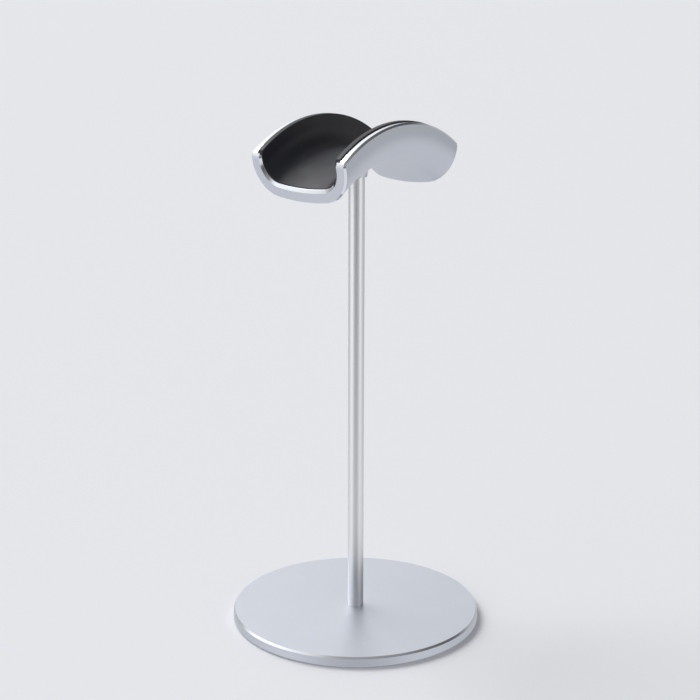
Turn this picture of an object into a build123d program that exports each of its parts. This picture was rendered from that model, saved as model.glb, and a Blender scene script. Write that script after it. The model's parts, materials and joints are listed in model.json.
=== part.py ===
from build123d import *
import os
from math import asin, cos, pi, radians, sin, sqrt, tan

# Headphone stand: a round base plate, a thin pole and a saddle-shaped cradle with a soft liner.
# Millimetres. Origin at the centre of the foot, on the surface the stand rests on. +Z is up.
# +X is the way the headband runs through the cradle, +Y points across the cradle to one side wall.

# Base plate and foot
base_diameter = 125.0
base_thickness = 5.0
base_top_bevel = 0.9
base_bottom_bevel = 0.3
foot_diameter = 118.0
foot_thickness = 1.2
foot_hole_diameter = 16.0
foot_recess_depth = 0.5
foot_recess_clearance = 0.2
adhesive_thickness = 0.1

# Pole and the threaded joints at its two ends
pole_diameter = 8.0
pole_visible_length = 221.5
pole_seat_depth = 1.0
pole_socket_depth = 2.5
pole_end_bevel = 0.4
pole_clearance = 0.05
thread_diameter = 5.0
thread_clearance = 0.1
thread_hole_depth = 14.0

# Countersunk screw below, from ISO 10642 M5
screw_head_diameter = 10.0
screw_head_rim = 0.3
screw_length = 12.0
screw_socket_flats = 3.0
screw_socket_depth = 1.9
screw_bevel = 0.5

# Stud above, from ISO 4026 M5
stud_length = 14.0
stud_reach_in_cradle = 6.0
stud_socket_flats = 2.5
stud_socket_depth = 2.5
stud_bevel = 0.6

# Cradle: a U section revolved about a level axis below it, then trimmed to a side outline
cradle_arch_radius = 64.0
cradle_half_width = 28.0
cradle_wall = 6.1
cradle_crown_radius = 100.0
cradle_corner_radius = 16.0
cradle_wall_height = 21.5
cradle_rim_radius = 78.9
cradle_end_half_length = 45.1
cradle_end_lean = 13.5
cradle_tip_radius = 2.0
cradle_outer_bevel = 0.9
cradle_inner_bevel = 1.0
cradle_blank_height = 30.0
cradle_sweep_angle = 100.0
side_outline_start = 30.0
cutter_margin = 10.0

# Boss under the cradle
boss_end_diameter = 10.3
boss_root_diameter = 16.0
boss_drop = 6.1
boss_land = 0.8
boss_flare_share_out = 0.3
boss_flare_share_up = 0.55
cradle_thread_depth = 6.4

# Pocket for the liner: a thinner floor and thinner walls between two borders at the ends
pocket_wall = 3.4
pocket_border = 1.2

# Liner: inlaid in the pocket, a little proud of its borders and of the rims
liner_thickness = 2.9
liner_end_clearance = 0.1
liner_proud = 0.55
liner_tip_radius = 1.5
film_end_clearance = 0.3
film_rim_gap = 1.0

# Heights, from the surface the stand rests on
foot_stack = foot_thickness + adhesive_thickness
base_bottom = foot_stack - foot_recess_depth
base_top = base_bottom + base_thickness
pole_bottom = base_top - pole_seat_depth
boss_bottom = base_top + pole_visible_length
pole_top = boss_bottom + pole_socket_depth
cradle_underside = boss_bottom + boss_drop
arch_centre = cradle_underside - cradle_arch_radius
rim_top = cradle_underside + cradle_wall_height
rim_centre = rim_top - cradle_rim_radius
countersink_depth = screw_head_rim + (screw_head_diameter - thread_diameter) / 2
countersink_top = base_bottom + foot_recess_depth + countersink_depth


def disc(diameter, bottom, top):
    """A plain round disc or rod on the Z axis between two heights."""
    return Pos(0, 0, bottom) * Cylinder(
        diameter / 2, top - bottom, align=(Align.CENTER, Align.CENTER, Align.MIN)
    )


def hex_socket(flats, bottom, top):
    """A hexagonal recess on the Z axis, given by the distance across its flats."""
    outline = Pos(0, 0, bottom) * RegularPolygon(flats / 2, 6, major_radius=False)
    return extrude(outline, amount=top - bottom)


def revolved_profile(points):
    """A solid of revolution about Z from (radius, height) points that start and end on the axis."""
    outline = Plane.XZ * make_face(Polyline(*points, close=True))
    return revolve(outline, Axis.Z)


def make_base_plate():
    radius = base_diameter / 2
    body = revolved_profile([
        (0, base_bottom),
        (radius - base_bottom_bevel, base_bottom),
        (radius, base_bottom + base_bottom_bevel),
        (radius, base_top - base_top_bevel),
        (radius - base_top_bevel, base_top),
        (0, base_top),
    ])
    recess_floor = base_bottom + foot_recess_depth
    body -= disc(foot_diameter + 2 * foot_recess_clearance, base_bottom, recess_floor)
    body -= disc(pole_diameter + 2 * pole_clearance, pole_bottom, base_top)
    body -= disc(thread_diameter, recess_floor, pole_bottom)
    head_radius = screw_head_diameter / 2
    body -= revolved_profile([
        (0, recess_floor),
        (head_radius, recess_floor),
        (head_radius, recess_floor + screw_head_rim),
        (thread_diameter / 2, countersink_top),
        (0, countersink_top),
    ])
    return body


def make_foot_pad():
    top = foot_thickness
    return disc(foot_diameter, 0, top) - disc(foot_hole_diameter, 0, top)


def make_foot_pad_adhesive():
    low, high = foot_thickness, foot_stack
    return disc(foot_diameter, low, high) - disc(foot_hole_diameter, low, high)


def make_base_screw():
    head_radius = screw_head_diameter / 2
    shank_radius = (thread_diameter - thread_clearance) / 2
    low = base_bottom + foot_recess_depth
    high = low + screw_length
    body = revolved_profile([
        (0, low),
        (head_radius, low),
        (head_radius, low + screw_head_rim),
        (shank_radius, countersink_top),
        (shank_radius, high - screw_bevel),
        (shank_radius - screw_bevel, high),
        (0, high),
    ])
    return body - hex_socket(screw_socket_flats, low, low + screw_socket_depth)


def make_pole():
    body = disc(pole_diameter, pole_bottom, pole_top)
    ends = body.edges().filter_by(GeomType.CIRCLE)
    body = chamfer(ends, pole_end_bevel)
    body -= disc(thread_diameter, pole_bottom, pole_bottom + thread_hole_depth)
    body -= disc(thread_diameter, pole_top - thread_hole_depth, pole_top)
    return body


def make_top_stud():
    radius = (thread_diameter - thread_clearance) / 2
    high = pole_top + stud_reach_in_cradle
    low = high - stud_length
    body = revolved_profile([
        (0, low),
        (radius - stud_bevel, low),
        (radius, low + stud_bevel),
        (radius, high - stud_bevel),
        (radius - stud_bevel, high),
        (0, high),
    ])
    return body - hex_socket(stud_socket_flats, low, low + stud_socket_depth)


def u_section(offset, height):
    """The cradle's U in the YZ plane, filled from its lower skin up to a height above the underside.

    offset moves the skin inwards from the cradle's outside. The floor is a shallow arc, and each
    corner is an arc tangent to the floor and to the upright wall.
    """
    floor_radius = cradle_crown_radius - offset
    corner = cradle_corner_radius - offset
    half = cradle_half_width - offset
    low = cradle_underside + offset
    lip = cradle_underside + height
    # the corner's centre lies on the circle that is one corner radius inside the floor's arc
    reach = floor_radius - corner
    turn = asin((half - corner) / reach)
    centre = (half - corner, low + floor_radius - reach * cos(turn))
    joint = (floor_radius * sin(turn), low + floor_radius * (1 - cos(turn)))
    halfway = (turn + pi / 2) / 2
    corner_middle = (centre[0] + corner * sin(halfway), centre[1] - corner * cos(halfway))
    right = Curve() + [
        ThreePointArc(joint, corner_middle, (half, centre[1])),
        Line((half, centre[1]), (half, lip)),
    ]
    floor = ThreePointArc((-joint[0], joint[1]), (0, low), joint)
    top = Line((-half, lip), (half, lip))
    outline = Curve() + [floor, *right.edges(), *mirror(right, Plane.YZ).edges(), top]
    return Plane.YZ * make_face(outline)


def saddle(offset, height):
    """The U swept round the arch: a block whose lower face is the saddle at that offset."""
    axis = Axis((0, 0, arch_centre), (0, 1, 0))
    section = u_section(offset, height)
    return revolve(section.rotate(axis, -cradle_sweep_angle / 2), axis, cradle_sweep_angle)


def side_outline(draw_in, rise, tip_radius):
    """The cradle seen from the side: leaning ends, an arched rim and rounded tips.

    draw_in moves the ends inwards and rise lifts the rim.
    """
    lean = radians(cradle_end_lean)
    tip_height = rim_centre + sqrt(cradle_rim_radius**2 - cradle_end_half_length**2)
    half_at_tip = cradle_end_half_length - draw_in / cos(lean)
    low, high = arch_centre + side_outline_start, rim_top + rise
    half_low = half_at_tip + (low - tip_height) * tan(lean)
    half_high = half_at_tip + (high - tip_height) * tan(lean)
    lower = [(-half_low, low), (half_low, low)]
    upper = [(half_high, high), (-half_high, high)]
    ends = Polyline(*lower, *upper, close=True)
    rim = Pos(0, rim_centre) * Circle(cradle_rim_radius + rise)
    face = make_face(ends) & rim
    tips = face.vertices().sort_by(Axis.Y)[-2:]
    return Plane.XZ * fillet(tips, tip_radius)


def trim(solid, draw_in, rise, tip_radius):
    outline = side_outline(draw_in, rise, tip_radius)
    return solid & extrude(outline, amount=cradle_half_width + cutter_margin, both=True)


def is_cut_face(face):
    """True for the faces that the side outline leaves: the end planes, rims and tips."""
    if face.geom_type == GeomType.PLANE:
        return abs(face.normal_at().X) > 0.5
    return face.geom_type == GeomType.CYLINDER


def lip_edges(solid, half_width):
    """The edges between the cut faces and a skin that reaches no further out than half_width."""
    cut_edges = [e for f in solid.faces() if is_cut_face(f) for e in f.edges()]
    skin_edges = []
    for face in solid.faces():
        box = face.bounding_box()
        is_skin = face.geom_type in (GeomType.PLANE, GeomType.TORUS) and not is_cut_face(face)
        if is_skin and max(box.max.Y, -box.min.Y) < half_width + 0.01:
            skin_edges += face.edges()
    matches = [e for e in cut_edges if any(e.is_same(other) for other in skin_edges)]
    return ShapeList(matches)


def make_boss():
    """Flared boss between the pole's shoulder and the cradle's floor."""
    end = boss_end_diameter / 2
    root = boss_root_diameter / 2
    land = boss_bottom + boss_land
    inside = cradle_underside + pocket_wall / 2
    flare_out = end + (root - end) * boss_flare_share_out
    flare_up = land + (cradle_underside - land) * boss_flare_share_up
    flare = ThreePointArc((end, land), (flare_out, flare_up), (root, cradle_underside))
    rest = Polyline((root, cradle_underside), (root, inside), (0, inside), (0, boss_bottom))
    foot = Polyline((0, boss_bottom), (end, boss_bottom), (end, land))
    return revolve(Plane.XZ * make_face(Curve() + [flare, rest, foot]), Axis.Z)


def make_cradle():
    body = trim(saddle(0, cradle_blank_height), 0, 0, cradle_tip_radius)
    body = chamfer(lip_edges(body, cradle_half_width), cradle_outer_bevel)
    body -= saddle(cradle_wall, cradle_blank_height + cutter_margin)
    inner_half = cradle_half_width - cradle_wall
    body = chamfer(lip_edges(body, inner_half), cradle_inner_bevel)
    pocket = saddle(pocket_wall, cradle_blank_height)
    body -= trim(pocket, pocket_border, cutter_margin, cradle_tip_radius)
    body += make_boss()
    socket_top = boss_bottom + pole_socket_depth
    body -= disc(pole_diameter + 2 * pole_clearance, boss_bottom, socket_top)
    body -= disc(thread_diameter, socket_top, pole_top + cradle_thread_depth)
    return body


def make_cradle_pad():
    outside = pocket_wall + adhesive_thickness
    body = saddle(outside, cradle_blank_height)
    body -= saddle(outside + liner_thickness, cradle_blank_height + cutter_margin)
    return trim(body, pocket_border + liner_end_clearance, liner_proud, liner_tip_radius)


def make_cradle_pad_adhesive():
    body = saddle(pocket_wall, cradle_blank_height)
    body -= saddle(pocket_wall + adhesive_thickness, cradle_blank_height + cutter_margin)
    return trim(body, pocket_border + film_end_clearance, -film_rim_gap, liner_tip_radius)


pieces = {
    "base_plate": make_base_plate,
    "foot_pad": make_foot_pad,
    "foot_pad_adhesive": make_foot_pad_adhesive,
    "base_screw": make_base_screw,
    "pole": make_pole,
    "top_stud": make_top_stud,
    "cradle": make_cradle,
    "cradle_pad": make_cradle_pad,
    "cradle_pad_adhesive": make_cradle_pad_adhesive,
}

os.makedirs("parts", exist_ok=True)
for name, make in pieces.items():
    export_step(make(), f"parts/{name}.step")
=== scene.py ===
import bmesh
import bpy
import cmath
import json
import math
from bpy.props import FloatProperty, FloatVectorProperty, IntProperty, PointerProperty
from mathutils import Matrix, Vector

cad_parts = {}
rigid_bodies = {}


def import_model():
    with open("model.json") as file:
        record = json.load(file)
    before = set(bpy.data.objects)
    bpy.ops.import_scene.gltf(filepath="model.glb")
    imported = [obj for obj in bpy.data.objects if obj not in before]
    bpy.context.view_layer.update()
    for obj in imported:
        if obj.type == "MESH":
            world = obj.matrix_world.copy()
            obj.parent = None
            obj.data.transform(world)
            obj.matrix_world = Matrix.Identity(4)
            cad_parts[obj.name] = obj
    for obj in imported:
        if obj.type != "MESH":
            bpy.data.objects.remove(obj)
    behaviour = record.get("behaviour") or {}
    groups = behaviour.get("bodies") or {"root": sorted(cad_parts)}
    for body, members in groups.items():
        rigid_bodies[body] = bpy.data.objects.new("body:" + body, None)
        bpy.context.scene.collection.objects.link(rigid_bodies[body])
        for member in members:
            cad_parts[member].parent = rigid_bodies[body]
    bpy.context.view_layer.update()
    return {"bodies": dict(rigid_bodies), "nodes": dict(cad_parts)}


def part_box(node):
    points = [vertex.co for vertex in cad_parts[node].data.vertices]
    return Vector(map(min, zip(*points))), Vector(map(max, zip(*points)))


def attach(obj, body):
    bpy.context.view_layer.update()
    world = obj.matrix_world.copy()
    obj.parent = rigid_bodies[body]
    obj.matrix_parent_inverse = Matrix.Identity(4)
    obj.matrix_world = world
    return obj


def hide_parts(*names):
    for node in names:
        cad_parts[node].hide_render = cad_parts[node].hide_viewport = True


bl_info = {
    "name": "Headphone stand",
    "version": (1, 0, 0),
    "blender": (4, 5, 0),
    "location": "3D View > Sidebar > Stand",
    "description": "A desk stand for headphones: round plate, thin pole and a lined saddle cradle",
    "category": "Object",
}

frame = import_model()

MM = 0.001
SHARP_ANGLE = 30.0
PLATE_BEVEL = 0.9 * MM
BEVEL_MARGIN = 0.01 * MM
# the boss's flare: how far its middle point lies from its lower end to its root, out and up
BOSS_FLARE_OUT = 0.3
BOSS_FLARE_UP = 0.55
BOSS_FLARE_STEPS = 12
BOSS_CORNER = 0.15 * MM
BOSS_SIDES = 96
FOOT_SIDES = 256
BODY = next(iter(frame["bodies"]))
CRADLE_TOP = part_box("cradle")[1]
POLE_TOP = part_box("pole")[1]
PLATE_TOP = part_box("base_plate")[1]


# ---------------------------------------------------------------- colours and nodes

def linear(hex_colour):
    """A linear RGBA colour from an sRGB hex string such as "#c8ccd0"."""
    channels = [int(hex_colour[i:i + 2], 16) / 255 for i in (1, 3, 5)]
    return tuple(c / 12.92 if c <= 0.04045 else ((c + 0.055) / 1.055) ** 2.4 for c in channels) + (1.0,)


def add(tree, kind, *values, sockets=None, **settings):
    """Adds a node. values fill its first sockets in order, sockets fills named ones, settings its options."""
    node = tree.nodes.new(kind)
    for name, value in settings.items():
        setattr(node, name, value)
    for key, value in [*enumerate(values), *(sockets or {}).items()]:
        if isinstance(value, bpy.types.Node):
            value = value.outputs[0]
        if isinstance(value, bpy.types.NodeSocket):
            tree.links.new(value, node.inputs[key])
        elif value is not None:
            node.inputs[key].default_value = value
    return node


def formulas(tree, known, rows):
    """Adds one Math node for each row of (name, operation, operands).

    An operand is a number or a known name.
    """
    for name, operation, *operands in rows:
        values = [known[o] if isinstance(o, str) else o for o in operands]
        known[name] = add(tree, "ShaderNodeMath", *values, operation=operation)


def surface(name):
    """A new material, its node tree and its Principled shader."""
    material = bpy.data.materials.new(name)
    material.use_nodes = True
    tree = material.node_tree
    return material, tree, tree.nodes["Principled BSDF"]


def grain(tree, size, stretch=(1.0, 1.0, 1.0), detail=2.0):
    """Noise on Object coordinates, in grains of a size.

    Grains are drawn out along an axis where stretch is small.
    """
    place = add(tree, "ShaderNodeTexCoord").outputs["Object"]
    scaled = add(tree, "ShaderNodeMapping", place, sockets={"Scale": stretch})
    return add(tree, "ShaderNodeTexNoise", sockets={"Vector": scaled, "Scale": 1 / size, "Detail": detail})


# ---------------------------------------------------------------- finishes

def bead_blasted_aluminium(colours):
    """Bead-blasted, clear anodised aluminium: an even satin with a faint sparkle of fine dimples."""
    material, tree, shader = surface("bead_blasted_aluminium")
    # real dimples are about 0.1 mm across; they are drawn at 0.45 mm so that they show at all
    dimples = grain(tree, 0.45 * MM)
    clouds = grain(tree, 22 * MM, detail=1.0)
    tint = add(tree, "ShaderNodeMix", data_type="RGBA", sockets={
        "Factor": clouds.outputs["Fac"], 6: colours.aluminium[:], 7: colours.aluminium_deep[:]})
    tree.links.new(tint.outputs[2], shader.inputs["Base Color"])
    rough = add(tree, "ShaderNodeMapRange", dimples.outputs["Fac"], 0.3, 0.7, 0.40, 0.48)
    tree.links.new(rough.outputs[0], shader.inputs["Roughness"])
    bump = add(tree, "ShaderNodeBump", sockets={
        "Strength": 0.35, "Distance": 0.012 * MM, "Height": dimples.outputs["Fac"]})
    tree.links.new(bump.outputs[0], shader.inputs["Normal"])
    shader.inputs["Metallic"].default_value = 1.0
    return material


def cut_aluminium(colours):
    """Diamond-cut aluminium: the bright bevels turned or milled after anodising, almost a mirror."""
    material, tree, shader = surface("cut_aluminium")
    # the cutter leaves lines about 0.05 mm apart; they are drawn at 0.3 mm and very shallow
    lines = grain(tree, 0.3 * MM, detail=1.0)
    rough = add(tree, "ShaderNodeMapRange", lines.outputs["Fac"], 0.3, 0.7, 0.10, 0.15)
    tree.links.new(rough.outputs[0], shader.inputs["Roughness"])
    shader.inputs["Base Color"].default_value = colours.aluminium_bright[:]
    shader.inputs["Metallic"].default_value = 1.0
    return material


def turned_plate(colours):
    """The base plate: bead-blasted all over, then its top bevel turned bright.

    The bevel is the only part above its lower edge and outside its upper edge, so height and radius find it.
    """
    material = bead_blasted_aluminium(colours)
    material.name = "turned_plate"
    tree = material.node_tree
    shader = tree.nodes["Principled BSDF"]
    known = {}
    place = add(tree, "ShaderNodeSeparateXYZ", add(tree, "ShaderNodeTexCoord").outputs["Object"])
    known["x"], known["y"], known["z"] = place.outputs
    formulas(tree, known, (
        ("x squared", "MULTIPLY", "x", "x"),
        ("squares", "MULTIPLY_ADD", "y", "y", "x squared"),
        ("radius", "SQRT", "squares"),
        ("outside", "GREATER_THAN", "radius", PLATE_TOP.x - PLATE_BEVEL + BEVEL_MARGIN),
        ("above", "GREATER_THAN", "z", PLATE_TOP.z - PLATE_BEVEL + BEVEL_MARGIN),
        ("bevel", "MULTIPLY", "outside", "above"),
    ))
    for socket, value in (("Base Color", colours.aluminium_bright[:]), ("Roughness", 0.16)):
        kind, first = ("RGBA", 6) if socket == "Base Color" else ("FLOAT", 2)
        before = shader.inputs[socket].links[0].from_socket
        mix = add(tree, "ShaderNodeMix", data_type=kind,
                  sockets={0: known["bevel"], first: before, first + 1: value})
        tree.links.new(next(out for out in mix.outputs if out.enabled), shader.inputs[socket])
    return material


def drawn_aluminium(colours):
    """Drawn aluminium rod, buffed and clear anodised: semi-bright, with faint lines along its length."""
    material, tree, shader = surface("drawn_aluminium")
    # drawing lines are finer than a tenth of a millimetre; they are drawn at 0.35 mm, 40 times as long
    lines = grain(tree, 0.35 * MM, stretch=(1.0, 1.0, 0.025))
    rough = add(tree, "ShaderNodeMapRange", lines.outputs["Fac"], 0.3, 0.7, 0.10, 0.14)
    tree.links.new(rough.outputs[0], shader.inputs["Roughness"])
    bump = add(tree, "ShaderNodeBump", sockets={
        "Strength": 0.12, "Distance": 0.006 * MM, "Height": lines.outputs["Fac"]})
    tree.links.new(bump.outputs[0], shader.inputs["Normal"])
    shader.inputs["Base Color"].default_value = colours.aluminium_bright[:]
    shader.inputs["Metallic"].default_value = 1.0
    return material


def moulded_silicone(colours):
    """Moulded black silicone: smooth, slightly bloomed, so its highlight is broad and soft."""
    material, tree, shader = surface("moulded_silicone")
    bloom = grain(tree, 9 * MM, detail=3.0)
    rough = add(tree, "ShaderNodeMapRange", bloom.outputs["Fac"], 0.3, 0.7, 0.42, 0.50)
    tree.links.new(rough.outputs[0], shader.inputs["Roughness"])
    # the mould's fine spark texture, drawn at 0.4 mm
    texture = grain(tree, 0.4 * MM)
    bump = add(tree, "ShaderNodeBump", sockets={
        "Strength": 0.15, "Distance": 0.008 * MM, "Height": texture.outputs["Fac"]})
    tree.links.new(bump.outputs[0], shader.inputs["Normal"])
    shader.inputs["Base Color"].default_value = colours.silicone[:]
    shader.inputs["IOR"].default_value = 1.41
    return material


def foam_rubber(colours):
    """Closed-cell foam rubber sheet: matt black with fine open pores on its cut faces."""
    material, tree, shader = surface("foam_rubber")
    # cells are about 0.2 mm across and are drawn at 0.5 mm
    cells = grain(tree, 0.5 * MM)
    tone = add(tree, "ShaderNodeMix", data_type="RGBA", sockets={
        "Factor": cells.outputs["Fac"], 6: colours.foam[:], 7: colours.silicone[:]})
    tree.links.new(tone.outputs[2], shader.inputs["Base Color"])
    bump = add(tree, "ShaderNodeBump", sockets={
        "Strength": 0.6, "Distance": 0.05 * MM, "Height": cells.outputs["Fac"]})
    tree.links.new(bump.outputs[0], shader.inputs["Normal"])
    shader.inputs["Roughness"].default_value = 0.9
    shader.inputs["IOR"].default_value = 1.5
    return material


def machined_steel(name, colour, roughness):
    """Small turned steel parts, with a slightly uneven gloss."""
    material, tree, shader = surface(name)
    marks = grain(tree, 0.5 * MM)
    rough = add(tree, "ShaderNodeMapRange", marks.outputs["Fac"], 0.3, 0.7, roughness, roughness + 0.1)
    tree.links.new(rough.outputs[0], shader.inputs["Roughness"])
    shader.inputs["Base Color"].default_value = colour
    shader.inputs["Metallic"].default_value = 1.0
    return material


def zinc_plated_steel(colours):
    """Bright zinc plate: a cool, even gloss."""
    return machined_steel("zinc_plated_steel", colours.zinc[:], 0.28)


def black_oxide_steel(colours):
    """Black oxide: a dark, oily half gloss."""
    return machined_steel("black_oxide_steel", colours.black_oxide[:], 0.38)


def transfer_tape(colours):
    """Transfer tape: a thin milky acrylic film, slightly uneven."""
    material, tree, shader = surface("transfer_tape")
    patches = grain(tree, 3 * MM)
    rough = add(tree, "ShaderNodeMapRange", patches.outputs["Fac"], 0.3, 0.7, 0.45, 0.6)
    tree.links.new(rough.outputs[0], shader.inputs["Roughness"])
    shader.inputs["Base Color"].default_value = colours.tape[:]
    shader.inputs["IOR"].default_value = 1.47
    return material


def finish(make):
    """The material of a function's name, made by that function the first time."""
    return bpy.data.materials.get(make.__name__) or make(bpy.context.scene.stand_colours)


# ---------------------------------------------------------------- the saddle's shape, as Geometry Nodes

SKIN_LENGTHS = (
    "Arch Radius", "Arch Height", "Crown Radius", "Corner Radius", "Rim Radius", "Rim Height",
    "End Distance", "Tip Radius", "End Gap", "Rim Gap", "Half Wall",
)
SKIN_SHARES = ("Floor Turn", "Floor Share", "Corner Share", "End Lean")
SKIN_COUNTS = ("Cells Along", "Cells Across", "Edge Steps")
SKIN_FINISHES = ("Skin Finish", "Edge Finish", "Lip Finish", "End Finish")
SHARED_INPUTS = (
    [(name, "NodeSocketFloat") for name in SKIN_LENGTHS + SKIN_SHARES]
    + [(name, "NodeSocketInt") for name in SKIN_COUNTS]
    + [(name, "NodeSocketMaterial") for name in SKIN_FINISHES]
)


def new_tree(name, inputs):
    """A Geometry Nodes tree with named inputs. Returns it, its inputs by name and its output node."""
    tree = bpy.data.node_groups.new(name, "GeometryNodeTree")
    for label, kind in inputs:
        tree.interface.new_socket(name=label, in_out="INPUT", socket_type=kind)
    tree.interface.new_socket(name="Geometry", in_out="OUTPUT", socket_type="NodeSocketGeometry")
    entry = tree.nodes.new("NodeGroupInput")
    exit_node = tree.nodes.new("NodeGroupOutput")
    return tree, {socket.name: socket for socket in entry.outputs if socket.name}, exit_node


def skin_tree():
    """One face of a saddle-shaped shell, with the edge that turns from that face to the middle of the lip.

    A grid's inner cells cover the face. Each ring of cells round it is one step of the edge, and the
    last ring is half of the lip. Sizes are worked out for one quarter and mirrored by sign.
    """
    extra = [("Offset", "NodeSocketFloat"), ("Inward", "NodeSocketFloat"), ("Edge", "NodeSocketFloat")]
    tree, known, exit_node = new_tree("Saddle skin", SHARED_INPUTS + extra)
    formulas(tree, known, (
        ("rings", "ADD", "Edge Steps", 1),
        ("reach along", "ADD", "Cells Along", "rings"),
        ("reach across", "ADD", "Cells Across", "rings"),
        ("size along", "MULTIPLY", "reach along", 2),
        ("size across", "MULTIPLY", "reach across", 2),
        ("points along", "ADD", "size along", 1),
        ("points across", "ADD", "size across", 1),
    ))
    grid = add(tree, "GeometryNodeMeshGrid", known["size along"], known["size across"],
               known["points along"], known["points across"])
    place = add(tree, "ShaderNodeSeparateXYZ", add(tree, "GeometryNodeInputPosition"))
    known["x"], known["y"] = place.outputs[0], place.outputs[1]
    formulas(tree, known, (
        # which ring a point is on, and how far along and across the face it is, from 0 to 1
        ("i", "ABSOLUTE", "x"),
        ("j", "ABSOLUTE", "y"),
        ("over along", "SUBTRACT", "i", "Cells Along"),
        ("over across", "SUBTRACT", "j", "Cells Across"),
        ("over", "MAXIMUM", "over along", "over across"),
        ("ring", "MAXIMUM", "over", 0),
        ("i on face", "MINIMUM", "i", "Cells Along"),
        ("j on face", "MINIMUM", "j", "Cells Across"),
        ("share along", "DIVIDE", "i on face", "Cells Along"),
        ("share across", "DIVIDE", "j on face", "Cells Across"),
        # the edge: a quarter turn in Edge Steps, so one step is a flat bevel
        ("edge share", "DIVIDE", "ring", "Edge Steps"),
        ("edge share", "MINIMUM", "edge share", 1),
        ("edge turn", "MULTIPLY", "edge share", math.pi / 2),
        ("edge sine", "SINE", "edge turn"),
        ("edge cosine", "COSINE", "edge turn"),
        ("draw share", "SUBTRACT", 1, "edge sine"),
        ("draw", "MULTIPLY", "draw share", "Edge"),
        ("sink share", "SUBTRACT", 1, "edge cosine"),
        ("sink", "MULTIPLY", "sink share", "Edge"),
        ("lip ring", "SUBTRACT", "ring", "Edge Steps"),
        ("lip ring", "MAXIMUM", "lip ring", 0),
        ("lip width", "SUBTRACT", "Half Wall", "Edge"),
        ("depth", "MULTIPLY_ADD", "lip ring", "lip width", "sink"),
        ("offset", "MULTIPLY_ADD", "depth", "Inward", "Offset"),
        ("end gap", "ADD", "draw", "End Gap"),
        ("rim gap", "ADD", "draw", "Rim Gap"),
        ("tip", "SUBTRACT", "Tip Radius", "draw"),
        ("tip", "MAXIMUM", "tip", 0.01 * MM),
        ("corner sweep", "SUBTRACT", math.pi / 2, "Floor Turn"),
    ))
    across = known["share across"]
    known["floor angle"] = add(tree, "ShaderNodeMapRange", across, 0.0, known["Floor Share"],
                               0.0, known["Floor Turn"])
    known["corner angle"] = add(tree, "ShaderNodeMapRange", across, known["Floor Share"],
                                known["Corner Share"], 0.0, known["corner sweep"])
    known["wall share"] = add(tree, "ShaderNodeMapRange", across, known["Corner Share"], 1.0, 0.0, 1.0)
    formulas(tree, known, (
        # the U across the headband: a shallow floor arc, a corner arc, then the upright wall
        ("angle", "ADD", "floor angle", "corner angle"),
        ("crown", "SUBTRACT", "Crown Radius", "Corner Radius"),
        ("corner", "SUBTRACT", "Corner Radius", "offset"),
        ("floor sine", "SINE", "floor angle"),
        ("floor cosine", "COSINE", "floor angle"),
        ("angle sine", "SINE", "angle"),
        ("angle cosine", "COSINE", "angle"),
        ("corner across", "MULTIPLY", "corner", "angle sine"),
        ("out", "MULTIPLY_ADD", "crown", "floor sine", "corner across"),
        ("corner dip", "MULTIPLY", "corner", "angle cosine"),
        ("dip", "MULTIPLY_ADD", "crown", "floor cosine", "corner dip"),
        ("arch and crown", "ADD", "Arch Radius", "Crown Radius"),
        ("radius", "SUBTRACT", "arch and crown", "dip"),
        # side view of the floor and corner: arcs about the arch's centre, up to the leaning end
        ("end", "SUBTRACT", "End Distance", "end gap"),
        ("end sine", "DIVIDE", "end", "radius"),
        ("end angle", "ARCSINE", "end sine"),
        ("end angle", "ADD", "end angle", "End Lean"),
        ("skin angle", "MULTIPLY", "end angle", "share along"),
        ("skin sine", "SINE", "skin angle"),
        ("skin cosine", "COSINE", "skin angle"),
        # side view of the rim: an arc about its own centre, up to the same end
        ("rim radius", "SUBTRACT", "Rim Radius", "rim gap"),
        ("rim lift", "SUBTRACT", "Rim Height", "Arch Height"),
        ("lean sine", "SINE", "End Lean"),
        ("lean cosine", "COSINE", "End Lean"),
        ("down", "MULTIPLY", "lean sine", -1),
        ("rim end", "MULTIPLY_ADD", "rim lift", "lean sine", "end"),
        ("rim end sine", "DIVIDE", "rim end", "rim radius"),
        ("rim end angle", "ARCSINE", "rim end sine"),
        ("rim end angle", "ADD", "rim end angle", "End Lean"),
        ("rim angle", "MULTIPLY", "rim end angle", "share along"),
        ("rim sine", "SINE", "rim angle"),
        ("rim cosine", "COSINE", "rim angle"),
    ))
    skin_way = add(tree, "ShaderNodeCombineXYZ", known["skin sine"], 0.0, known["skin cosine"])
    skin = add(tree, "ShaderNodeVectorMath", skin_way, operation="SCALE", sockets={"Scale": known["radius"]})
    rim_way = add(tree, "ShaderNodeCombineXYZ", known["rim sine"], 0.0, known["rim cosine"])
    rim_arm = add(tree, "ShaderNodeVectorMath", rim_way, operation="SCALE",
                  sockets={"Scale": known["rim radius"]})
    rim_centre = add(tree, "ShaderNodeCombineXYZ", 0.0, 0.0, known["rim lift"])
    rim = add(tree, "ShaderNodeVectorMath", rim_arm, rim_centre, operation="ADD")
    side = add(tree, "ShaderNodeMix", data_type="VECTOR", sockets={0: known["wall share"], 4: skin, 5: rim})
    side = side.outputs[1]
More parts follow.
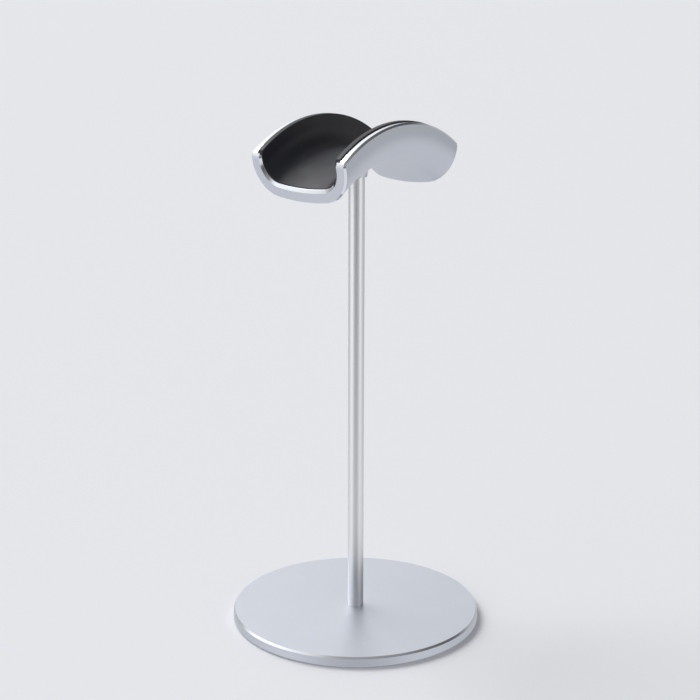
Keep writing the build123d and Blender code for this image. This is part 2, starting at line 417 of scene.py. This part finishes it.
    # near a tip, the square corner between end and rim is pulled in to an arc of the tip's radius
    end_way = add(tree, "ShaderNodeCombineXYZ", known["lean cosine"], 0.0, known["down"])
    reach = add(tree, "ShaderNodeVectorMath", side, end_way, operation="DOT_PRODUCT")
    arm = add(tree, "ShaderNodeVectorMath", side, rim_centre, operation="SUBTRACT")
    arm_length = add(tree, "ShaderNodeVectorMath", arm, operation="LENGTH")
    known["reach"], known["arm"] = reach.outputs["Value"], arm_length.outputs["Value"]
    formulas(tree, known, (
        ("to end", "SUBTRACT", "end", "reach"),
        ("to rim", "SUBTRACT", "rim radius", "arm"),
    ))
    known["near end"] = add(tree, "ShaderNodeMapRange", known["to end"], known["tip"], 0.0, 0.0, 1.0)
    known["near rim"] = add(tree, "ShaderNodeMapRange", known["to rim"], known["tip"], 0.0, 0.0, 1.0)
    both = add(tree, "ShaderNodeCombineXYZ", known["near end"], known["near rim"], 0.0)
    diagonal = add(tree, "ShaderNodeVectorMath", both, operation="LENGTH")
    known["diagonal"] = diagonal.outputs["Value"]
    formulas(tree, known, (
        ("nearest", "MAXIMUM", "near end", "near rim"),
        ("square", "DIVIDE", "nearest", "diagonal"),
        ("pull", "SUBTRACT", "square", 1),
        ("pull", "MULTIPLY", "pull", "tip"),
        ("end pull", "MULTIPLY", "pull", "near end"),
        ("rim pull", "MULTIPLY", "pull", "near rim"),
    ))
    rim_normal = add(tree, "ShaderNodeVectorMath", arm, operation="NORMALIZE")
    moves = [
        add(tree, "ShaderNodeVectorMath", way, operation="SCALE", sockets={"Scale": known[amount]})
        for way, amount in ((end_way, "end pull"), (rim_normal, "rim pull"))
    ]
    pulled = add(tree, "ShaderNodeVectorMath", *moves, operation="ADD")
    rounded = add(tree, "ShaderNodeVectorMath", side, pulled, operation="ADD")
    split = add(tree, "ShaderNodeSeparateXYZ", rounded)
    known["far"], known["high"] = split.outputs[0], split.outputs[2]
    formulas(tree, known, (
        ("sign along", "SIGN", "x"),
        ("sign across", "SIGN", "y"),
        ("at x", "MULTIPLY", "far", "sign along"),
        ("at y", "MULTIPLY", "out", "sign across"),
        ("at z", "ADD", "high", "Arch Height"),
        ("is edge", "GREATER_THAN", "ring", 0.01),
        ("is lip", "GREATER_THAN", "ring", "Edge Steps"),
        ("is past end", "GREATER_THAN", "over along", "over across"),
        ("is end", "MULTIPLY", "is lip", "is past end"),
    ))
    shape = grid
    for choice, material in ((True, "Skin Finish"), ("is edge", "Edge Finish"), ("is lip", "Lip Finish"),
                             ("is end", "End Finish")):
        shape = add(tree, "GeometryNodeSetMaterial", shape, known.get(choice, True), known[material])
    position = add(tree, "ShaderNodeCombineXYZ", known["at x"], known["at y"], known["at z"])
    placed = add(tree, "GeometryNodeSetPosition", shape, sockets={"Position": position})
    tree.links.new(placed.outputs[0], exit_node.inputs[0])
    return tree


def saddle_tree():
    """A whole saddle-shaped shell: its outer and inner skins, joined along the middle of the lip."""
    name = "Saddle shell"
    if name in bpy.data.node_groups:
        return bpy.data.node_groups[name]
    skin = skin_tree()
    extra = [(label, "NodeSocketFloat") for label in ("Depth In", "Wall", "Outer Edge", "Inner Edge")]
    tree, known, exit_node = new_tree(name, SHARED_INPUTS + extra)
    formulas(tree, known, (("inside", "ADD", "Depth In", "Wall"),))
    shared = {label: known[label] for label, _ in SHARED_INPUTS}
    outer = add(tree, "GeometryNodeGroup", node_tree=skin, sockets={
        **shared, "Offset": known["Depth In"], "Inward": 1.0, "Edge": known["Outer Edge"]})
    inner = add(tree, "GeometryNodeGroup", node_tree=skin, sockets={
        **shared, "Offset": known["inside"], "Inward": -1.0, "Edge": known["Inner Edge"]})
    flipped = add(tree, "GeometryNodeFlipFaces", outer)
    join = add(tree, "GeometryNodeJoinGeometry", flipped)
    tree.links.new(inner.outputs[0], join.inputs[0])
    merged = add(tree, "GeometryNodeMergeByDistance", join, sockets={"Distance": 0.003 * MM})
    smooth = add(tree, "GeometryNodeSetShadeSmooth", merged)
    real = add(tree, "GeometryNodeRealizeInstances", smooth)
    tree.links.new(real.outputs[0], exit_node.inputs[0])
    return tree


# ---------------------------------------------------------------- making meshes

def add_piece(name, mesh):
    """A new object in the scene, at the origin."""
    piece = bpy.data.objects.new(name, mesh)
    bpy.context.scene.collection.objects.link(piece)
    return piece


def settle(piece):
    """Turns a piece and its modifiers into one plain mesh."""
    shape = piece.evaluated_get(bpy.context.evaluated_depsgraph_get())
    mesh = bpy.data.meshes.new_from_object(shape)
    mesh.name = piece.name
    piece.modifiers.clear()
    piece.data = mesh


def grow(name, tree, values):
    """A piece made by a Geometry Nodes tree from values for its named inputs."""
    piece = add_piece(name, bpy.data.meshes.new(name))
    modifier = piece.modifiers.new(name, "NODES")
    modifier.node_group = tree
    for item in tree.interface.items_tree:
        if item.in_out == "INPUT":
            modifier[item.identifier] = values[item.name]
    settle(piece)
    return piece


def arc_through(start, middle, end, steps):
    """Points of the arc from start to end through middle, as (radius, height) pairs."""
    a, b, c = (complex(*point) for point in (start, middle, end))
    w = (c - a) / (b - a)
    centre = a - (a - b) * (w - abs(w) ** 2) / (2j * w.imag)
    sweep = cmath.phase((c - centre) / (a - centre))
    points = [centre + (a - centre) * cmath.rect(1, sweep * step / steps) for step in range(steps + 1)]
    return [(point.real, point.imag) for point in points]


def turned(name, outline, sides):
    """A closed outline of (radius, height) points turned once round the Z axis."""
    mesh = bpy.data.meshes.new(name)
    shape = bmesh.new()
    rings = [
        [
            shape.verts.new((r * math.cos(turn), r * math.sin(turn), z))
            for r, z in outline
        ]
        for turn in (2 * math.pi * side / sides for side in range(sides))
    ]
    count = len(outline)
    for side, ring in enumerate(rings):
        after = rings[(side + 1) % sides]
        for k in range(count):
            shape.faces.new((ring[k], ring[(k + 1) % count], after[(k + 1) % count], after[k]))
    bmesh.ops.remove_doubles(shape, verts=shape.verts, dist=0.001 * MM)
    bmesh.ops.dissolve_degenerate(shape, edges=shape.edges, dist=0.001 * MM)
    bmesh.ops.recalc_face_normals(shape, faces=shape.faces)
    shape.to_mesh(mesh)
    shape.free()
    mesh.shade_smooth()
    return add_piece(name, mesh)


def combine(piece, tool, operation):
    """Joins a tool shape to a piece or cuts it away, and removes the tool."""
    modifier = piece.modifiers.new(operation, "BOOLEAN")
    modifier.operation = operation
    modifier.object = tool
    modifier.solver = "EXACT"
    settle(piece)
    bpy.data.objects.remove(tool)


def fit(piece, material_slot, *nodes):
    """Puts a finished piece in the frame, in place of the CAD nodes that it stands for."""
    piece.data.set_sharp_from_angle(angle=math.radians(SHARP_ANGLE))
    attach(piece, BODY)
    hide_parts(*nodes)


# ---------------------------------------------------------------- sizes and colours

def length(label, default, description):
    """A length that a user can change, given in metres."""
    return FloatProperty(name=label, description=description, default=default, min=0.0, unit="LENGTH",
                         precision=5)


def colour(label, default, description):
    """A colour that a user can change, given as sRGB hex."""
    return FloatVectorProperty(name=label, description=description, default=linear(default), size=4,
                               subtype="COLOR", min=0.0, max=1.0)


class StandColours(bpy.types.PropertyGroup):
    """Base colours of the stand's materials."""
    aluminium: colour("Aluminium", "#d0d4dd", "Blasted and clear anodised aluminium")
    aluminium_deep: colour("Aluminium, deeper", "#cbd0d9", "The same, under thicker anodising")
    aluminium_bright: colour("Bright aluminium", "#e3e6ec", "Diamond-cut and drawn aluminium")
    silicone: colour("Silicone", "#24252d", "The liner's black silicone")
    foam: colour("Foam", "#26272a", "The foot's black foam rubber, between its cells")
    zinc: colour("Zinc", "#b9bec4", "Zinc plate on the screw below")
    black_oxide: colour("Black oxide", "#2b2a2c", "Black oxide on the stud above")
    tape: colour("Tape", "#c9c6bd", "Transfer tape under the liner and the foot")
    floor: colour("Floor", "#e9eaee", "The surface that the stand is on")


class StandSizes(bpy.types.PropertyGroup):
    """Sizes of the shaped pieces. The overall sizes come from the frame."""
    arch_radius: length("Arch radius", 64 * MM, "Radius of the cradle's underside along the headband")
    crown_radius: length("Crown radius", 100 * MM, "Radius of the cradle's floor across the headband")
    corner_radius: length("Corner radius", 16 * MM, "Outer radius between the floor and a side wall")
    rim_radius: length("Rim radius", 78.9 * MM, "Radius of the arched top of each side wall")
    wall_height: length("Wall height", 21.5 * MM, "From the cradle's lowest skin to the top of its walls")
    wall: length("Wall", 6.1 * MM, "Thickness of the cradle")
    end_half_length: length("End half length", 45.1 * MM, "From the middle to the end of a wall's top")
    end_lean: FloatProperty(name="End lean", description="How far each end leans out from upright",
                            default=math.radians(13.5), subtype="ANGLE")
    tip_radius: length("Tip radius", 2 * MM, "Radius where an end meets a wall's top")
    outer_bevel: length("Outer bevel", 0.9 * MM, "Bright bevel along the outside edges")
    inner_bevel: length("Inner bevel", 1.0 * MM, "Bright bevel inside the two ends")
    pocket_wall: length("Pocket wall", 3.4 * MM, "Metal left behind the liner")
    pocket_border: length("Pocket border", 1.2 * MM, "Full thickness kept at each end of the liner")
    liner: length("Liner", 2.9 * MM, "Thickness of the soft liner")
    liner_gap: length("Liner gap", 0.1 * MM, "Adhesive between the cradle and the liner")
    liner_play: length("Liner play", 0.1 * MM, "Gap between each end of the liner and its border")
    liner_proud: length("Liner proud", 0.55 * MM, "How far the liner stands above the walls")
    liner_tip_radius: length("Liner tip radius", 1.5 * MM, "Radius of the liner's corners")
    liner_edge: length("Liner edge", 0.35 * MM, "Rounding of the liner's edges")
    boss_end: length("Boss end", 5.15 * MM, "Radius of the boss where it meets the pole")
    boss_root: length("Boss root", 8 * MM, "Radius of the boss where it meets the cradle")
    boss_drop: length("Boss drop", 6.1 * MM, "How far the boss stands below the cradle")
    boss_land: length("Boss land", 0.8 * MM, "Straight part at the boss's lower end")
    socket_play: length("Socket play", 0.05 * MM, "Gap round the pole in its socket")
    stud_hole: length("Stud hole", 2.5 * MM, "Radius of the threaded hole above the pole")
    stud_hole_depth: length("Stud hole depth", 6.4 * MM, "Depth of that hole above the pole's end")
    foot_edge: length("Foot edge", 0.25 * MM, "Rounding of the foam foot's edges")
    foot_hole: length("Foot hole", 8 * MM, "Radius of the hole in the foam foot")
    cells_along: IntProperty(name="Cells along", description="Mesh cells from the saddle's middle to its end",
                             default=90, min=8)
    cells_across: IntProperty(name="Cells across", description="Mesh cells from its middle to its rim",
                              default=60, min=8)


class StandStudio(bpy.types.PropertyGroup):
    """Where the camera stands, and how strong the lights are."""
    camera_azimuth: FloatProperty(name="Camera azimuth", description="Turn of the camera about the stand",
                                  default=math.radians(307.83), subtype="ANGLE")
    camera_distance: length("Camera distance", 769.1 * MM, "Level distance from the pole to the camera")
    camera_height: length("Camera height", 349.3 * MM, "Height of the camera above the floor")
    camera_pitch: FloatProperty(name="Camera pitch", description="How far the camera looks down",
                                default=math.radians(15.145), subtype="ANGLE")
    camera_aim: FloatProperty(name="Camera aim", description="How far the camera looks left of the pole",
                              default=math.radians(0.226), subtype="ANGLE")
    camera_roll: FloatProperty(name="Camera roll", description="Turn of the camera about its own axis",
                               default=math.radians(0.105), subtype="ANGLE")
    lens: FloatProperty(name="Lens", description="Focal length, in millimetres", default=83.13, min=1.0)
    key_azimuth: FloatProperty(name="Key azimuth", description="Turn of the main light from the camera",
                               default=math.radians(-125), subtype="ANGLE")
    key_height: FloatProperty(name="Key height", description="Height of the main light above level",
                              default=math.radians(55), subtype="ANGLE")
    key_spread: FloatProperty(name="Key spread", description="How wide the main light is",
                              default=math.radians(35), subtype="ANGLE")
    key_strength: FloatProperty(name="Key strength", description="Strength of the main light", default=1.3)
    dome_strength: FloatProperty(name="Dome strength", description="Strength of the light all round",
                                 default=1.0)


# ---------------------------------------------------------------- the pieces

def saddle_values(sizes):
    """Inputs that the cradle and the liner share, worked out from the sizes and the cradle's own box."""
    crown_span = sizes.crown_radius - sizes.corner_radius
    turn = math.asin((CRADLE_TOP.y - sizes.corner_radius) / crown_span)
    arch_height = CRADLE_TOP.z - sizes.wall_height - sizes.arch_radius
    rim_height = CRADLE_TOP.z - sizes.rim_radius
    floor = sizes.crown_radius * turn
    corner = sizes.corner_radius * (math.pi / 2 - turn)
    upright = sizes.wall_height - sizes.crown_radius + crown_span * math.cos(turn)
    tip_height = rim_height + math.sqrt(sizes.rim_radius ** 2 - sizes.end_half_length ** 2)
    end_distance = sizes.end_half_length * math.cos(sizes.end_lean)
    end_distance -= (tip_height - arch_height) * math.sin(sizes.end_lean)
    return {
        "Arch Radius": sizes.arch_radius,
        "Arch Height": arch_height,
        "Crown Radius": sizes.crown_radius,
        "Corner Radius": sizes.corner_radius,
        "Rim Radius": sizes.rim_radius,
        "Rim Height": rim_height,
        "End Distance": end_distance,
        "End Lean": sizes.end_lean,
        "Floor Turn": turn,
        "Floor Share": floor / (floor + corner + upright),
        "Corner Share": (floor + corner) / (floor + corner + upright),
        "Cells Along": sizes.cells_along,
        "Cells Across": sizes.cells_across,
    }


class STAND_OT_cradle(bpy.types.Operator):
    """Makes the metal saddle with its bright bevels and the boss that holds the pole"""
    bl_idname = "stand.cradle"
    bl_label = "Cradle"

    def execute(self, context):
        sizes = context.scene.stand_sizes
        shared = {
            **saddle_values(sizes),
            "Tip Radius": sizes.tip_radius,
            "Half Wall": sizes.wall / 2,
            "Wall": sizes.wall,
            "Edge Steps": 1,
            "Skin Finish": finish(bead_blasted_aluminium),
            "Edge Finish": finish(cut_aluminium),
            "Lip Finish": finish(cut_aluminium),
            "End Finish": finish(bead_blasted_aluminium),
        }
        cradle = grow("saddle_cradle", saddle_tree(), {
            **shared,
            "Depth In": 0.0,
            "End Gap": 0.0,
            "Rim Gap": 0.0,
            "Outer Edge": sizes.outer_bevel,
            "Inner Edge": sizes.inner_bevel,
        })
        # the pocket for the liner runs out over the rims, but stops at a border inside each end
        pocket = grow("pocket", saddle_tree(), {
            **shared,
            "Depth In": sizes.pocket_wall,
            "End Gap": sizes.pocket_border,
            "Rim Gap": -sizes.wall,
            "Outer Edge": 0.0,
            "Inner Edge": 0.0,
        })
        combine(cradle, pocket, "DIFFERENCE")
        underside = CRADLE_TOP.z - sizes.wall_height
        bottom = underside - sizes.boss_drop
        inside = underside + sizes.pocket_wall / 2
        land = bottom + sizes.boss_land
        flare_out = sizes.boss_end + BOSS_FLARE_OUT * (sizes.boss_root - sizes.boss_end)
        flare_up = land + BOSS_FLARE_UP * (underside - land)
        flare = arc_through(
            (sizes.boss_end, land), (flare_out, flare_up), (sizes.boss_root, underside),
            steps=BOSS_FLARE_STEPS,
        )
        boss = turned("boss", [
            (0, bottom), (sizes.boss_end - BOSS_CORNER, bottom), (sizes.boss_end, bottom + BOSS_CORNER),
            *flare, (sizes.boss_root, inside), (0, inside),
        ], sides=BOSS_SIDES)
        boss.data.materials.append(finish(bead_blasted_aluminium))
        combine(cradle, boss, "UNION")
        socket = POLE_TOP.x + sizes.socket_play
        hole_top = POLE_TOP.z + sizes.stud_hole_depth
        drill = turned("drill", [
            (0, bottom - sizes.wall), (socket, bottom - sizes.wall), (socket, POLE_TOP.z),
            (sizes.stud_hole, POLE_TOP.z), (sizes.stud_hole, hole_top), (0, hole_top),
        ], sides=BOSS_SIDES)
        drill.data.materials.append(finish(bead_blasted_aluminium))
        combine(cradle, drill, "DIFFERENCE")
        fit(cradle, "blasted_aluminium_cradle", "cradle")
        return {"FINISHED"}


class STAND_OT_liner(bpy.types.Operator):
    """Makes the soft liner that lies in the saddle"""
    bl_idname = "stand.liner"
    bl_label = "Liner"

    def execute(self, context):
        sizes = context.scene.stand_sizes
        rubber = finish(moulded_silicone)
        liner = grow("saddle_liner", saddle_tree(), {
            **saddle_values(sizes),
            "Tip Radius": sizes.liner_tip_radius,
            "End Gap": sizes.pocket_border + sizes.liner_play,
            "Rim Gap": -sizes.liner_proud,
            "Half Wall": sizes.liner / 2,
            "Depth In": sizes.pocket_wall + sizes.liner_gap,
            "Wall": sizes.liner,
            "Outer Edge": sizes.liner_edge,
            "Inner Edge": sizes.liner_edge,
            "Edge Steps": 6,
            "Skin Finish": rubber,
            "Edge Finish": rubber,
            "Lip Finish": rubber,
            "End Finish": rubber,
        })
        fit(liner, "liner_silicone", "cradle_pad")
        return {"FINISHED"}


class STAND_OT_foot(bpy.types.Operator):
    """Makes the foam rubber foot under the base plate"""
    bl_idname = "stand.foot"
    bl_label = "Foot"

    def execute(self, context):
        sizes = context.scene.stand_sizes
        low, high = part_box("foot_pad")
        edge = sizes.foot_edge
        turns = [math.pi / 2 * step / 4 for step in range(5)]
        outer = [(high.x - edge + edge * math.sin(t), low.z + edge - edge * math.cos(t)) for t in turns]
        upper = [(r, low.z + high.z - z) for r, z in reversed(outer)]
        inner = [(sizes.foot_hole + high.x - r, z) for r, z in reversed(outer + upper)]
        foot = turned("foam_foot", outer + upper + inner, sides=FOOT_SIDES)
        foot.data.materials.append(finish(foam_rubber))
        fit(foot, "foot_rubber", "foot_pad")
        return {"FINISHED"}


class STAND_OT_hardware(bpy.types.Operator):
    """Gives the base plate, pole, screw, stud and adhesive films their finishes"""
    bl_idname = "stand.hardware"
    bl_label = "Plate, pole and fixings"

    def execute(self, context):
        finishes = {
            "base_plate": turned_plate,
            "pole": drawn_aluminium,
            "base_screw": zinc_plated_steel,
            "top_stud": black_oxide_steel,
            "foot_pad_adhesive": transfer_tape,
            "cradle_pad_adhesive": transfer_tape,
        }
        for node, make in finishes.items():
            for place in frame["nodes"][node].material_slots:
                place.material = finish(make)
        return {"FINISHED"}


# ---------------------------------------------------------------- the studio

def plain_floor(colours):
    """A pale painted board: matt, with the faintest unevenness."""
    material, tree, shader = surface("plain_floor")
    clouds = grain(tree, 400 * MM, detail=1.0)
    rough = add(tree, "ShaderNodeMapRange", clouds.outputs["Fac"], 0.3, 0.7, 0.85, 0.92)
    tree.links.new(rough.outputs[0], shader.inputs["Roughness"])
    shader.inputs["Base Color"].default_value = colours.floor[:]
    shader.inputs["Specular IOR Level"].default_value = 0.2
    return material


# brightness of the studio, by degrees round from the camera to its right: at level, and higher up
LEVEL_BANDS = ((-180, 0.90), (-118, 0.45), (-58, 1.35), (-22, 0.30), (0, 0.14), (22, 0.34), (60, 1.25),
               (88, 0.66), (115, 0.50), (150, 0.55), (180, 0.90))
UPPER_BANDS = ((-180, 1.10), (-120, 1.55), (-60, 0.95), (-10, 0.50), (50, 0.32), (100, 0.14), (140, 0.10),
               (160, 0.40), (180, 1.10))


# the dome's other colours, and the heights (as sines) between which one light gives way to the next
ZENITH_LIGHT = (0.30, 0.31, 0.33, 1.0)
FLOOR_LIGHT = (0.86, 0.86, 0.88, 1.0)
BACKDROP_LIGHT = (0.8, 0.81, 0.84, 1.0)
UPPER_HEIGHTS = (0.28, 0.55)
ZENITH_HEIGHTS = (0.80, 0.97)
FLOOR_HEIGHTS = (-0.20, -0.42)
FLOOR_HALF_WIDTH = 30.0
FLOOR_GAP = 0.02 * MM
SENSOR_WIDTH = 36.0


def studio_dome(studio):
    """The light all round: soft panels beside the camera and behind the stand, dark between, pale below."""
    world = bpy.data.worlds.new("studio_dome")
    world.use_nodes = True
    tree = world.node_tree
    tree.nodes.clear()
    known = {}
    way = add(tree, "ShaderNodeTexCoord").outputs["Generated"]
    turned_way = add(tree, "ShaderNodeMapping", way, vector_type="POINT",
                     sockets={"Rotation": (0.0, 0.0, -studio.camera_azimuth)})
    split = add(tree, "ShaderNodeSeparateXYZ", turned_way)
    known["x"], known["y"], known["z"] = split.outputs
    formulas(tree, known, (
        ("to camera", "MULTIPLY", "y", -1),
        ("angle", "ARCTAN2", "x", "to camera"),
        ("around", "MULTIPLY_ADD", "angle", 0.5 / math.pi, 0.5),
    ))
    bands = {}
    for name, rows in (("level", LEVEL_BANDS), ("upper", UPPER_BANDS)):
        bands[name] = add(tree, "ShaderNodeValToRGB", known["around"])
        ramp = bands[name].color_ramp
        ramp.interpolation = "EASE"
        while len(ramp.elements) < len(rows):
            ramp.elements.new(0.5)
        for element, (degrees, value) in zip(ramp.elements, rows):
            element.position = degrees / 360 + 0.5
            element.color = (value, value, value, 1.0)
    light_at = bands["level"].outputs[0]
    for heights, value in (
        (UPPER_HEIGHTS, bands["upper"].outputs[0]),
        (ZENITH_HEIGHTS, ZENITH_LIGHT),
        (FLOOR_HEIGHTS, FLOOR_LIGHT),
    ):
        share = add(tree, "ShaderNodeMapRange", known["z"], *heights, 0.0, 1.0,
                    interpolation_type="SMOOTHSTEP")
        light_at = add(tree, "ShaderNodeMix", data_type="RGBA",
                       sockets={0: share, 6: light_at, 7: value}).outputs[2]
    # what the camera itself sees past the floor is plain
    seen = add(tree, "ShaderNodeLightPath").outputs["Is Camera Ray"]
    shown = add(tree, "ShaderNodeMix", data_type="RGBA",
                sockets={0: seen, 6: light_at, 7: BACKDROP_LIGHT})
    light = add(tree, "ShaderNodeBackground", shown.outputs[2], studio.dome_strength)
    add(tree, "ShaderNodeOutputWorld", light)
    bpy.context.scene.world = world


class STAND_OT_studio(bpy.types.Operator):
    """Makes the floor, the light and the camera"""
    bl_idname = "stand.studio"
    bl_label = "Studio"

    def execute(self, context):
        scene = context.scene
        studio = scene.stand_studio
        shape = bmesh.new()
        bmesh.ops.create_grid(shape, x_segments=1, y_segments=1, size=FLOOR_HALF_WIDTH)
        mesh = bpy.data.meshes.new("floor")
        shape.to_mesh(mesh)
        shape.free()
        mesh.transform(Matrix.Translation((0, 0, -FLOOR_GAP)))
        mesh.materials.append(finish(plain_floor))
        floor = add_piece("floor", mesh)
        floor.visible_glossy = False

        studio_dome(studio)
        sun = bpy.data.lights.new("key", "SUN")
        sun.energy = studio.key_strength
        sun.angle = studio.key_spread
        key = add_piece("key", sun)
        turn = studio.camera_azimuth + studio.key_azimuth
        key.rotation_euler = (math.pi / 2 - studio.key_height, 0.0, turn)

        lens = bpy.data.cameras.new("camera")
        lens.lens = studio.lens
        lens.sensor_width = SENSOR_WIDTH
        camera = add_piece("camera", lens)
        azimuth = studio.camera_azimuth
        camera.matrix_world = (
            Matrix.Translation((
                studio.camera_distance * math.sin(azimuth),
                -studio.camera_distance * math.cos(azimuth),
                studio.camera_height,
            ))
            @ Matrix.Rotation(azimuth + studio.camera_aim, 4, "Z")
            @ Matrix.Rotation(math.pi / 2 - studio.camera_pitch, 4, "X")
            @ Matrix.Rotation(studio.camera_roll, 4, "Z")
        )
        scene.camera = camera
        scene.view_settings.view_transform = "Standard"
        return {"FINISHED"}


class STAND_PT_panel(bpy.types.Panel):
    """Lists the pieces, the sizes and the colours"""
    bl_idname = "STAND_PT_panel"
    bl_label = "Headphone stand"
    bl_space_type = "VIEW_3D"
    bl_region_type = "UI"
    bl_category = "Stand"

    def draw(self, context):
        for piece in PIECES:
            self.layout.operator(piece.bl_idname)
        for settings in (context.scene.stand_sizes, context.scene.stand_colours, context.scene.stand_studio):
            box = self.layout.box()
            for name in settings.__annotations__:
                box.prop(settings, name)


PIECES = (STAND_OT_cradle, STAND_OT_liner, STAND_OT_foot, STAND_OT_hardware, STAND_OT_studio)
SETTINGS = {"stand_sizes": StandSizes, "stand_colours": StandColours, "stand_studio": StandStudio}


def register():
    for cls in (*SETTINGS.values(), *PIECES, STAND_PT_panel):
        bpy.utils.register_class(cls)
    for name, group in SETTINGS.items():
        setattr(bpy.types.Scene, name, PointerProperty(type=group))


def unregister():
    for name in SETTINGS:
        delattr(bpy.types.Scene, name)
    for cls in reversed((*SETTINGS.values(), *PIECES, STAND_PT_panel)):
        bpy.utils.unregister_class(cls)


def main():
    register()
    bpy.ops.stand.cradle()
    bpy.ops.stand.liner()
    bpy.ops.stand.foot()
    bpy.ops.stand.hardware()
    bpy.ops.stand.studio()


if __name__ == "__main__":
    main()
